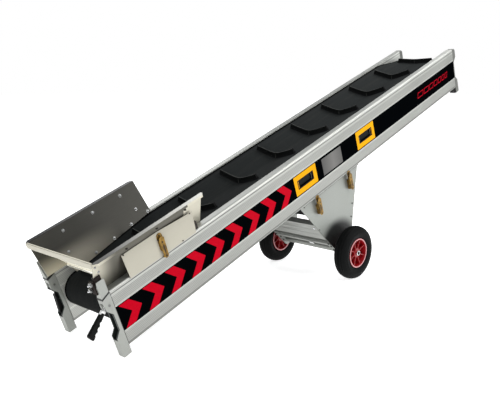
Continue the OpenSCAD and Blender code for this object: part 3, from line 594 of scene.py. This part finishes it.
# Hopper: flared side wings of brushed stainless sheet, dark with long streaks, held by cream side panels,
# with a cream lip bar and a sloping chute at the tail, all with an even silky powder coat. Dome-headed bolts
# clamp the belt skirts, their nuts outside.
FOOT_Y, FOOT_Z, RIM_Y, RIM_Z = 148.0, 222.0, 207.0, 364.0  # the wing's inner face at its foot and at its rim
FLARE = (RIM_Y - FOOT_Y) / (RIM_Z - FOOT_Z)
SHEET = 2.7  # from the wing's inner face straight across to its outer one


def wing_y(z):
    """How far out the wing's inner face stands at a height."""
    return FOOT_Y + (z - FOOT_Z) * FLARE


def wing_faces(tree, vector, colour):
    """Brushed inside with a painted reflection by the tail; cream outside with painted shade mid-way; a dark rim top.
    """
    parts = add(tree, "ShaderNodeSeparateXYZ", -300, 700, Vector=vector)
    out = add(tree, "ShaderNodeMath", -100, 700, {"operation": "ABSOLUTE"}, i0=parts.outputs["Y"])
    lean = add(tree, "ShaderNodeMath", -100, 850, {"operation": "MULTIPLY_ADD"},
               i0=parts.outputs["Z"], i1=FLARE, i2=wing_y(0) / 1000)
    past = add(tree, "ShaderNodeMath", 50, 700, {"operation": "SUBTRACT"}, i0=out.outputs[0], i1=lean.outputs[0])
    outside = add(tree, "ShaderNodeMath", 200, 700, {"operation": "GREATER_THAN"}, i0=past.outputs[0], i1=0.0012)
    # painted reflection: the brushed inside is drawn lighter low down by the tail
    low = add(tree, "ShaderNodeMapRange", -100, 1000, SMOOTH,
              Value=parts.outputs["Z"], i1=0.30, i2=0.22, i3=0.0, i4=1.0)
    tail = add(tree, "ShaderNodeMapRange", -100, 1150, SMOOTH,
               Value=parts.outputs["X"], i1=0.33, i2=0.05, i3=0.0, i4=1.0)
    light = add(tree, "ShaderNodeMath", 50, 1000, {"operation": "MULTIPLY"},
                i0=low.outputs[0], i1=tail.outputs[0])
    inner = add(tree, "ShaderNodeMix", 350, 900, BLENDED, i0=light.outputs[0], i6=colour, i7=linear("#A39E90"))
    # painted shade beside the panel: the cream outside is drawn darker from near the tail to x = 0.40 m
    panel_shade_ramp = add(tree, "ShaderNodeMapRange", 50, 1250, SMOOTH,
                Value=parts.outputs["X"], i1=-0.035, i2=0.062, i3=1.0, i4=0.2)
    headward = add(tree, "ShaderNodeMath", 200, 1400, {"operation": "GREATER_THAN"},
                   i0=parts.outputs["X"], i1=0.40)
    panel_shade_factor = add(tree, "ShaderNodeMath", 350, 1250, {"operation": "MAXIMUM"},
                i0=panel_shade_ramp.outputs[0], i1=headward.outputs[0])
    painted = add(tree, "ShaderNodeMix", 500, 1250, MULTIPLIED, i0=1.0, i6=linear("#B5B1A2"), i7=panel_shade_factor.outputs[0])
    both = add(tree, "ShaderNodeMix", 500, 700, BLENDED,
               i0=outside.outputs[0], i6=inner.outputs[2], i7=painted.outputs[2])
    # the rim top is dark, and on the near side grows lighter toward the head
    near = add(tree, "ShaderNodeMath", 200, 1550, {"operation": "LESS_THAN"}, i0=parts.outputs["Y"], i1=0.0)
    worn = add(tree, "ShaderNodeMapRange", 350, 1550, Value=parts.outputs["X"], i1=0.05, i2=0.45, i3=0.15, i4=1.0)
    bare = add(tree, "ShaderNodeMath", 500, 1550, {"operation": "MULTIPLY"},
               i0=near.outputs[0], i1=worn.outputs[0])
    rim = add(tree, "ShaderNodeMix", 650, 1550, BLENDED,
              i0=bare.outputs[0], i6=linear("#1C1B1A"), i7=linear("#AEADA6"))
    top = add(tree, "ShaderNodeMath", 500, 900, {"operation": "GREATER_THAN"}, i0=parts.outputs["Z"],
              i1=(RIM_Z - 1.2) / 1000)
    return add(tree, "ShaderNodeMix", 800, 700, BLENDED,
               i0=top.outputs[0], i6=both.outputs[2], i7=rim.outputs[2]).outputs[2]


brushed = material("brushed stainless sheet", "#3A3935", 0.38, metal=0.6, grain=(70, 1.2, 1.2), spread=0.08,
                   bump=0.12, gloss=0.2, shade=wing_faces)
cream = material("cream powder coat", "#A5A193", 0.45, grain=(1.5, 1.5, 1.5), spread=0.03, bump=0.25, gloss=0.35)
# The chute's cream is drawn lighter than the panels', as painted light where it lies in shade.
cream_with_painted_light = material("cream powder coat with painted light", "#F2EEDC", 0.45, grain=(1.5, 1.5, 1.5), spread=0.03,
                      bump=0.25, gloss=0.35)
dull_zinc = material("dull zinc plating", "#8E8F8E", 0.3, metal=0.9, grain=(5, 5, 5), spread=0.06)
dark_steel = material("blackened steel", "#2A2622", 0.4, metal=0.8, grain=(2, 2, 2), spread=0.1)
dress(brushed, "hopper_wing_near", "hopper_wing_far")
dress(cream, "hopper_panel_near", "hopper_panel_far", "hopper_tail_lip")
dress(cream_with_painted_light, "hopper_tail_chute")
for name in ("hopper_panel_near", "hopper_panel_far"):
    soften(nodes[name], 0.8)
soften(nodes["hopper_tail_lip"], 1.6, 3)

BOLTS = [(114, 338), (259, 339), (404, 341), (436, 265), (88, 263), (184, 208), (283, 216), (382, 225), (480, 234)]
washer_dome = [(6.8, 0), (6.8, 0.9), (5.2, 0.9), (5.0, 2.4), (4.0, 3.6), (2.0, 4.3), (0.3, 4.5)]
small_dome = [(4.9, 0), (4.62, 1.12), (3.64, 2.32), (1.82, 3.12), (0.21, 3.36)]
stud_nut = [(5.6, 0), (5.6, 4.5), (3.2, 5), (3.2, 8), (0.3, 8.4)]
slant = math.atan(FLARE)
for side, tag in SIDES:
    inward = (0, -side * math.cos(slant), math.sin(slant))
    outward = (0, side * math.cos(slant), -math.sin(slant))
    turned("wing_bolts_" + tag, washer_dome, [((x, side * wing_y(z), z), inward) for x, z in BOLTS], dull_zinc)
    screws = [((x, side * (wing_y(z) + SHEET), z), outward) for x, z in ((-23, 342), (-10, 315))]
    turned("wing_screws_" + tag, small_dome, screws, dull_zinc, segments=16)
    nuts = [((x, side * (wing_y(338) + SHEET), 338), outward) for x in (114, 259, 404)]
    turned("wing_nuts_" + tag, stud_nut, nuts, dark_steel, segments=6)
    screws = [((x, side * 194.8, z), (0, side, 0)) for x, z in ((97, 318), (424, 308), (358, 226))]
    turned("panel_screws_" + tag, [(3.2, 0), (3.0, 1.2), (0.3, 1.8)], screws, dark_steel, segments=14)
    boxes("panel_blocks_" + tag, [((431, 176, 230), (449, 190, 262))], dark_steel, side, width=1.5)
turned("chute_hem", [(5.6, 0), (5.6, 276)], [((59, -138, 229.5), (0, 1, 0))], bright_zinc, segments=20)


# Clamp at the near corner post: a dark plastic bracket and block with two zinc star knobs on studs. The
# plastic is dull and brownish.
KNOBS = ((-158, 254), (-172, 280))  # y and z of each stud
dark_block = material("brown black plastic", "#1B1512", 0.6, grain=(2, 2, 2), spread=0.1, gloss=0.1)
star = [(7.2 * (1 + 0.28 * math.cos(6 * t)), t) for t in (math.pi * k / 24 for k in range(48))]
points, faces = [], []
for y, z in KNOBS:
    faces += ends(2, len(star), len(points)) + skin(2, len(star), len(points))
    points += [(x, y + r * math.cos(t), z + r * math.sin(t)) for x in (-43, -51) for r, t in star]
soften(mesh_piece("clamp_knobs", points, faces, dull_zinc), 1.2)
studs = [((-36.5, y, z), (-1, 0, 0)) for y, z in KNOBS]
turned("clamp_studs", [(3, 0), (3, 20), (2.4, 21)], studs, bright_zinc, segments=16)
bracket = slabs("clamp_bracket", [rectangle(-41, -36.4, 236, 288)], 156, 182, dark_block, -1)
# The block also stands in for the dark shade between the wing and the post: it is partly painted shade.
boxes("clamp_block", [((-34, 171, 262), (-8, 188, 302))], dark_block, -1, width=1.5)
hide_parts("hopper_clamp")


# Toggle latches: yellow-zinc sheet steel with brown tarnish, on the hopper panels and at the top of the
# undercarriage plates. Each has a base with two cheeks, and a lever on a pin; those on the plates hook into
# catch blocks. A row gives how far out and how high the latches' tops lie, and where along the beam.
LATCHES = (("hopper", 194.8, 312, (262,)),
           ("undercarriage", 192.3, 4, (1165, 1430)))


def zinc_tarnish(tree, vector, colour):
    """Brown tarnish in patches."""
    patch = stretched(tree, -100, 700, vector, (16, 16, 22), 3.0)
    brown = add(tree, "ShaderNodeMapRange", 200, 700, Value=patch, i1=0.42, i2=0.6, i3=0.0, i4=0.85)
    return add(tree, "ShaderNodeMix", 350, 700, BLENDED,
               i0=brown.outputs[0], i6=colour, i7=linear("#4E3A1C")).outputs[2]


zinc = material("yellow zinc plating", "#86682A", 0.42, metal=0.7, grain=(2, 2, 2),
                spread=0.08, shade=zinc_tarnish)


def rounded_bar(x, top, low, half_top, half_low, steps=8):
    """A bar with round ends, from a top to a low centre, with its own half width at each."""
    arc = [math.pi * k / steps for k in range(steps + 1)]
    return [(x + half_top * math.cos(t), top + half_top * math.sin(t)) for t in arc] + [
        (x - half_low * math.cos(t), low - half_low * math.sin(t)) for t in arc]


for side, tag in SIDES:
    for place, y, top, spots in LATCHES:
        suffix = place + "_" + tag
        bases = [rounded_bar(x, top - 12, top - 62, 13.5, 12) for x in spots]
        levers = [rounded_bar(x, top - 23, top - 90, 12, 10.5) for x in spots]
        cheeks = [[(x + a, top - 20), (x + b, top - 20), (x + b, top - 64), (x + a, top - 64)]
                  for x in spots for a, b in ((-12.5, -10.5), (10.5, 12.5))]
        plate = slabs("latch_bases_" + suffix, bases, y, y + 2, zinc, side)
        walls = slabs("latch_cheeks_" + suffix, cheeks, y, y + 9, zinc, side)
        handles = slabs("latch_levers_" + suffix, levers, y + 7.5, y + 10.5, zinc, side)
        for piece in (plate, walls, handles):
            soften(piece, 0.7)
        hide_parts("hopper_latch_" + tag if place == "hopper" else "undercarriage_latches_" + tag)
        hinges = [((x, side * (y + 6), top - 22), (1, 0, 0)) for x in spots]
        turned("latch_pins_" + suffix, [(3.4, -13), (3.4, 13)], hinges, dark_steel, segments=14)
        rivets = [((x, side * (y + 10.5), top + drop), (0, side, 0)) for x in spots for drop in (-34, -92)]
        rivets += [((x, side * (y + 2), top - 7), (0, side, 0)) for x in spots]
        turned("latch_rivets_" + suffix, [(3.4, 0), (3.2, 1.0), (0.3, 1.8)], rivets, dark_steel, segments=14)
        # Painted shade: dark strips on the levers stand for the shade inside their slots.
        slots = [((x - 2.2, y + 10.4, top - 78), (x + 2.2, y + 10.9, top - 48)) for x in spots]
        boxes("latch_slot_shade_" + suffix, slots, dark_steel, side)
    catches = [((x - 8, 179.2, -92), (x + 8, 192.6, -44)) for x in LATCHES[1][3]]
    boxes("latch_catches_" + tag, catches, zinc, side, width=1.0)
    boxes("hopper_catch_" + tag, [((254, 192.4, 213), (270, 196, 221))], zinc, side, width=0.8)


# Undercarriage: satin aluminium plates bent from sheet, a hollow cross member and a slotted lower rail.
# A painted shadow of each wheel darkens the plates round the tyres.
AXLE = (1285.0, -366.53)
PLATE_OUT = 179.0  # how far out the plates' outer faces lie


def wheel_shadow_and_plate_shade(tree, vector, colour):
    """Painted shadow of the tyre round it on the plates' outer faces, and painted shade on their inner faces, all but
    the lowest part.
    """
    parts = add(tree, "ShaderNodeSeparateXYZ", -100, 600, Vector=vector)
    flat = add(tree, "ShaderNodeCombineXYZ", 50, 600, X=parts.outputs["X"], Z=parts.outputs["Z"])
    off = add(tree, "ShaderNodeVectorMath", 200, 600, {"operation": "DISTANCE"},
              i0=flat.outputs[0], i1=(1.262, 0.0, -0.350))
    # the tyre's painted shadow: a soft dark ring round it on the plates' outer faces
    dark = add(tree, "ShaderNodeMapRange", 350, 600, SMOOTH,
               Value=off.outputs["Value"], i1=0.126, i2=0.178, i3=0.05, i4=1.0)
    wide = add(tree, "ShaderNodeMath", 200, 800, {"operation": "ABSOLUTE"}, i0=parts.outputs["Y"])
    inside = add(tree, "ShaderNodeMath", 350, 800, {"operation": "LESS_THAN"},
                 i0=wide.outputs[0], i1=(PLATE_OUT - 0.5) / 1000)
    dusty = add(tree, "ShaderNodeMath", 450, 700, {"operation": "MAXIMUM"},
                i0=dark.outputs[0], i1=inside.outputs[0])
    # painted shade on the inner faces, all but their lowest part
    deep = add(tree, "ShaderNodeMapRange", 350, 950, SMOOTH,
               Value=parts.outputs["Z"], i1=-0.29, i2=-0.25, i3=1.0, i4=0.22)
    shady = add(tree, "ShaderNodeMix", 500, 900, i0=inside.outputs[0], i2=1.0, i3=deep.outputs[0])
    both = add(tree, "ShaderNodeMath", 600, 700, {"operation": "MULTIPLY"},
               i0=dusty.outputs[0], i1=shady.outputs[0])
    return add(tree, "ShaderNodeMix", 700, 600, MULTIPLIED, i0=1.0, i6=colour, i7=both.outputs[0]).outputs[2]


plate_sheet = material("satin aluminium sheet", "#898C87", 0.42, metal=0.5, grain=(6, 6, 6), spread=0.03,
                       bump=0.1, shade=wheel_shadow_and_plate_shade)
dress(plate_sheet, "undercarriage_plate_near", "undercarriage_plate_far")
dress(bare_aluminium, "cross_extrusion", "cross_rail")
for name in ("undercarriage_plate_near", "undercarriage_plate_far", "cross_extrusion", "cross_rail"):
    soften(nodes[name], 1.0)


# Fixings of the cross members: end bolts, black plugs at the ends of their grooves, a clip on the lower rail,
# the bolts through the plates, and dark strips under the beams, painted shade in the seams there.
EDGE_RUN = 0.544  # how far the plates' tail edge runs toward the head for each mm down
EDGE = math.atan(EDGE_RUN)
MEMBER_Z, RAIL_Z = -132, -274


def on_edge(out, y, z, down):
    """A point in front of the plates' tail edge: out from it, and down along it from height z."""
    x = 1054 - z * EDGE_RUN
    return (x - out * math.cos(EDGE) + down * math.sin(EDGE), y, z - out * math.sin(EDGE) - down * math.cos(EDGE))


facing = Vector((-math.cos(EDGE), 0, -math.sin(EDGE)))
bolts = [(on_edge(7, s * 163, MEMBER_Z, 25), facing) for s in (-1, 1)]
turned("member_bolts", [(6.5, 0), (6.5, 4), (5, 5), (0.3, 5)], bolts, bright_zinc, segments=6)
plugs = [(on_edge(0.2, s * 177, MEMBER_Z, d), facing) for s in (-1, 1) for d in (48, 121)]
plugs += [(on_edge(7, s * 168, RAIL_Z, 10), facing) for s in (-1, 1)]
turned("member_plugs", [(5, 0), (4.6, 2), (0.3, 2.4)], plugs, soft_rubber, segments=14)
bolts = [(on_edge(0.2, s * 162, -302, d), facing) for s in (-1, 1) for d in (16, 48)]
turned("flange_bolts", [(5, 0), (5, 2.5), (0.3, 3.2)], bolts, dark_steel, segments=12)
clip = [on_edge(out, y, RAIL_Z, down)
        for y in (-72, -44) for out, down in ((6.5, 19), (10.5, 19), (10.5, 34), (6.5, 34))]
mesh_piece("rail_clip", clip, ends(2, 4) + skin(2, 4), bright_zinc)
for side, tag in SIDES:
    bolts = [((x, side * PLATE_OUT, z), (0, side, 0)) for x, z in ((1076, -14), (1431, -178), (1404, -239))]
    turned("plate_bolts_" + tag, [(4.2, 0), (4.2, 1.8), (0.3, 2.6)], bolts, dark_steel, segments=14)
    boxes("plate_seam_shade_" + tag, [((1056, PLATE_OUT, -4.6), (1524, 191.6, -3.9))], dark_steel, side)


# Wheels: solid rubber tyres with a rounded shoulder and shallow grooves, on red moulded rims with eight ribs
# on each face, whose edges are pale. The bright axle ends in bored caps.
WHEEL_Y = 244.0
AXLE_END = 270.5
RIBS = 8
RIB_TURN = TILT + math.radians(20)  # how far the ribs stand turned back at rest
tyre_rubber = material("tyre rubber", "#0B0C0C", 0.62, grain=(1.5, 1.5, 1.5), spread=0.12, bump=0.35, gloss=0.06)
rim_red = material("red moulded rim", "#8A0A12", 0.36, grain=(3, 3, 3), spread=0.06, gloss=0.4)
rim_crest = material("pale rib edge", "#A2484A", 0.4, grain=(2, 2, 2), spread=0.08, gloss=0.3)
rim_edge = material("pale red edge", "#BE8486", 0.4, grain=(2, 2, 2), spread=0.08, gloss=0.4)
half_tyre = [(72.5, 24), (76, 29), (84, 33), (92, 35), (99, 36), (102, 36), (103, 35.2), (111, 34.6), (118, 31.8),
             (123.5, 27.5), (127.2, 22), (128.6, 18), (128.8, 17), (127.4, 16.6), (127.6, 14), (130, 13.4),
             (131, 9.5), (131.5, 5), (129.8, 4.6), (129.8, 1.6), (132, 1.2)]
half_rim = [(72.3, -24), (72, -30), (66.5, -30), (65.5, -27), (64.8, -12), (62, -4), (57, -3), (27, -3), (23, -7),
            (22, -21), (10.05, -21)]


def mirrored(half):
    """A profile of radius and y, followed by its mirror image back to the start."""
    return half + [(r, -y) for r, y in reversed(half)]


def ring_piece(name, loop, centre, look, body, segments=96):
    """A turned ring: a closed profile of radius and y, round the axle."""
    angles = [2 * math.pi * k / segments for k in range(segments)]
    points = [(centre[0] + r * math.cos(t), centre[1] + y, centre[2] + r * math.sin(t))
              for t in angles for r, y in loop]
    return mesh_piece(name, points, skin(segments, len(loop), closed=True), look, body)


def ribs(name, centre, foot, crest, look, body):
    """Ribs on both faces of a rim. foot and crest each give half of the thickness there, and how far off
    the rim's middle they lie by the hub and by the lip.
    """
    points, faces = [], []
    for face_side in (-1, 1):
        for k in range(RIBS):
            angle = 2 * math.pi * k / RIBS - RIB_TURN
            out = Vector((math.cos(angle), 0, math.sin(angle)))
            aside = Vector((-math.sin(angle), 0, math.cos(angle)))
            faces += ends(2, 4, len(points)) + skin(2, 4, len(points))
            for half, by_hub, by_lip in (foot, crest):
                corners = ((21.5, half, by_hub), (65.3, half, by_lip), (65.3, -half, by_lip), (21.5, -half, by_hub))
                points += [centre + out * r + aside * w + Vector((0, face_side * y, 0)) for r, w, y in corners]
    return mesh_piece(name, points, faces, look, body)


for side, tag in SIDES:
    body = "wheel_" + tag
    hub = Vector((AXLE[0], side * WHEEL_Y, AXLE[1]))
    tyre = ring_piece("tyre_tread_" + tag, [(72.5, 0)] + mirrored(half_tyre), hub, tyre_rubber, body, 128)
    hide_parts("tyre_" + tag)
    rim = ring_piece("rim_dish_" + tag, mirrored(half_rim), hub, rim_red, body)
    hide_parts("rim_" + tag)
    for end, edge in ((-1, "_low"), (1, "_high")):
        lip = [(72.1, end * 29.6), (72.1, end * 30.6), (66.8, end * 30.6), (66.4, end * 29.6)]
        ring_piece("rim_lip_" + tag + edge, lip, hub, rim_edge, body)
    ribs("rim_ribs_" + tag, hub, (2.0, 2.5, 2.5), (1.5, 19.6, 22.6), rim_red, body)
    ribs("rim_rib_crests_" + tag, hub, (1.0, 19.6, 22.6), (1.0, 20.2, 23.2), rim_crest, body)

both_ends = [((AXLE[0], s * (AXLE_END + 5), AXLE[1]), (0, s, 0)) for s in (-1, 1)]
along_axle = [((AXLE[0], 0, AXLE[1]), (0, 1, 0))]
cap = [(12.5, -6), (12.5, -1.2), (11.5, 0), (8.8, 0), (8, -1.2), (8, -5.4), (0.3, -5.4)]
axle_bar = turned("axle_bar", [(10, -AXLE_END), (10, AXLE_END)], along_axle, bright_zinc, segments=32)
turned("axle_caps", cap, both_ends, bright_zinc, segments=32)
turned("axle_sleeve", [(15.5, -196), (15.5, 196)], along_axle, bare_aluminium, segments=32)
# Painted shade: dark discs stand for the dark inside the caps' bores.
turned("axle_bore_shade", [(8.9, -1.0), (8.9, 0.3), (0.3, 0.3)], both_ends, soft_rubber, segments=20)
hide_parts("axle")
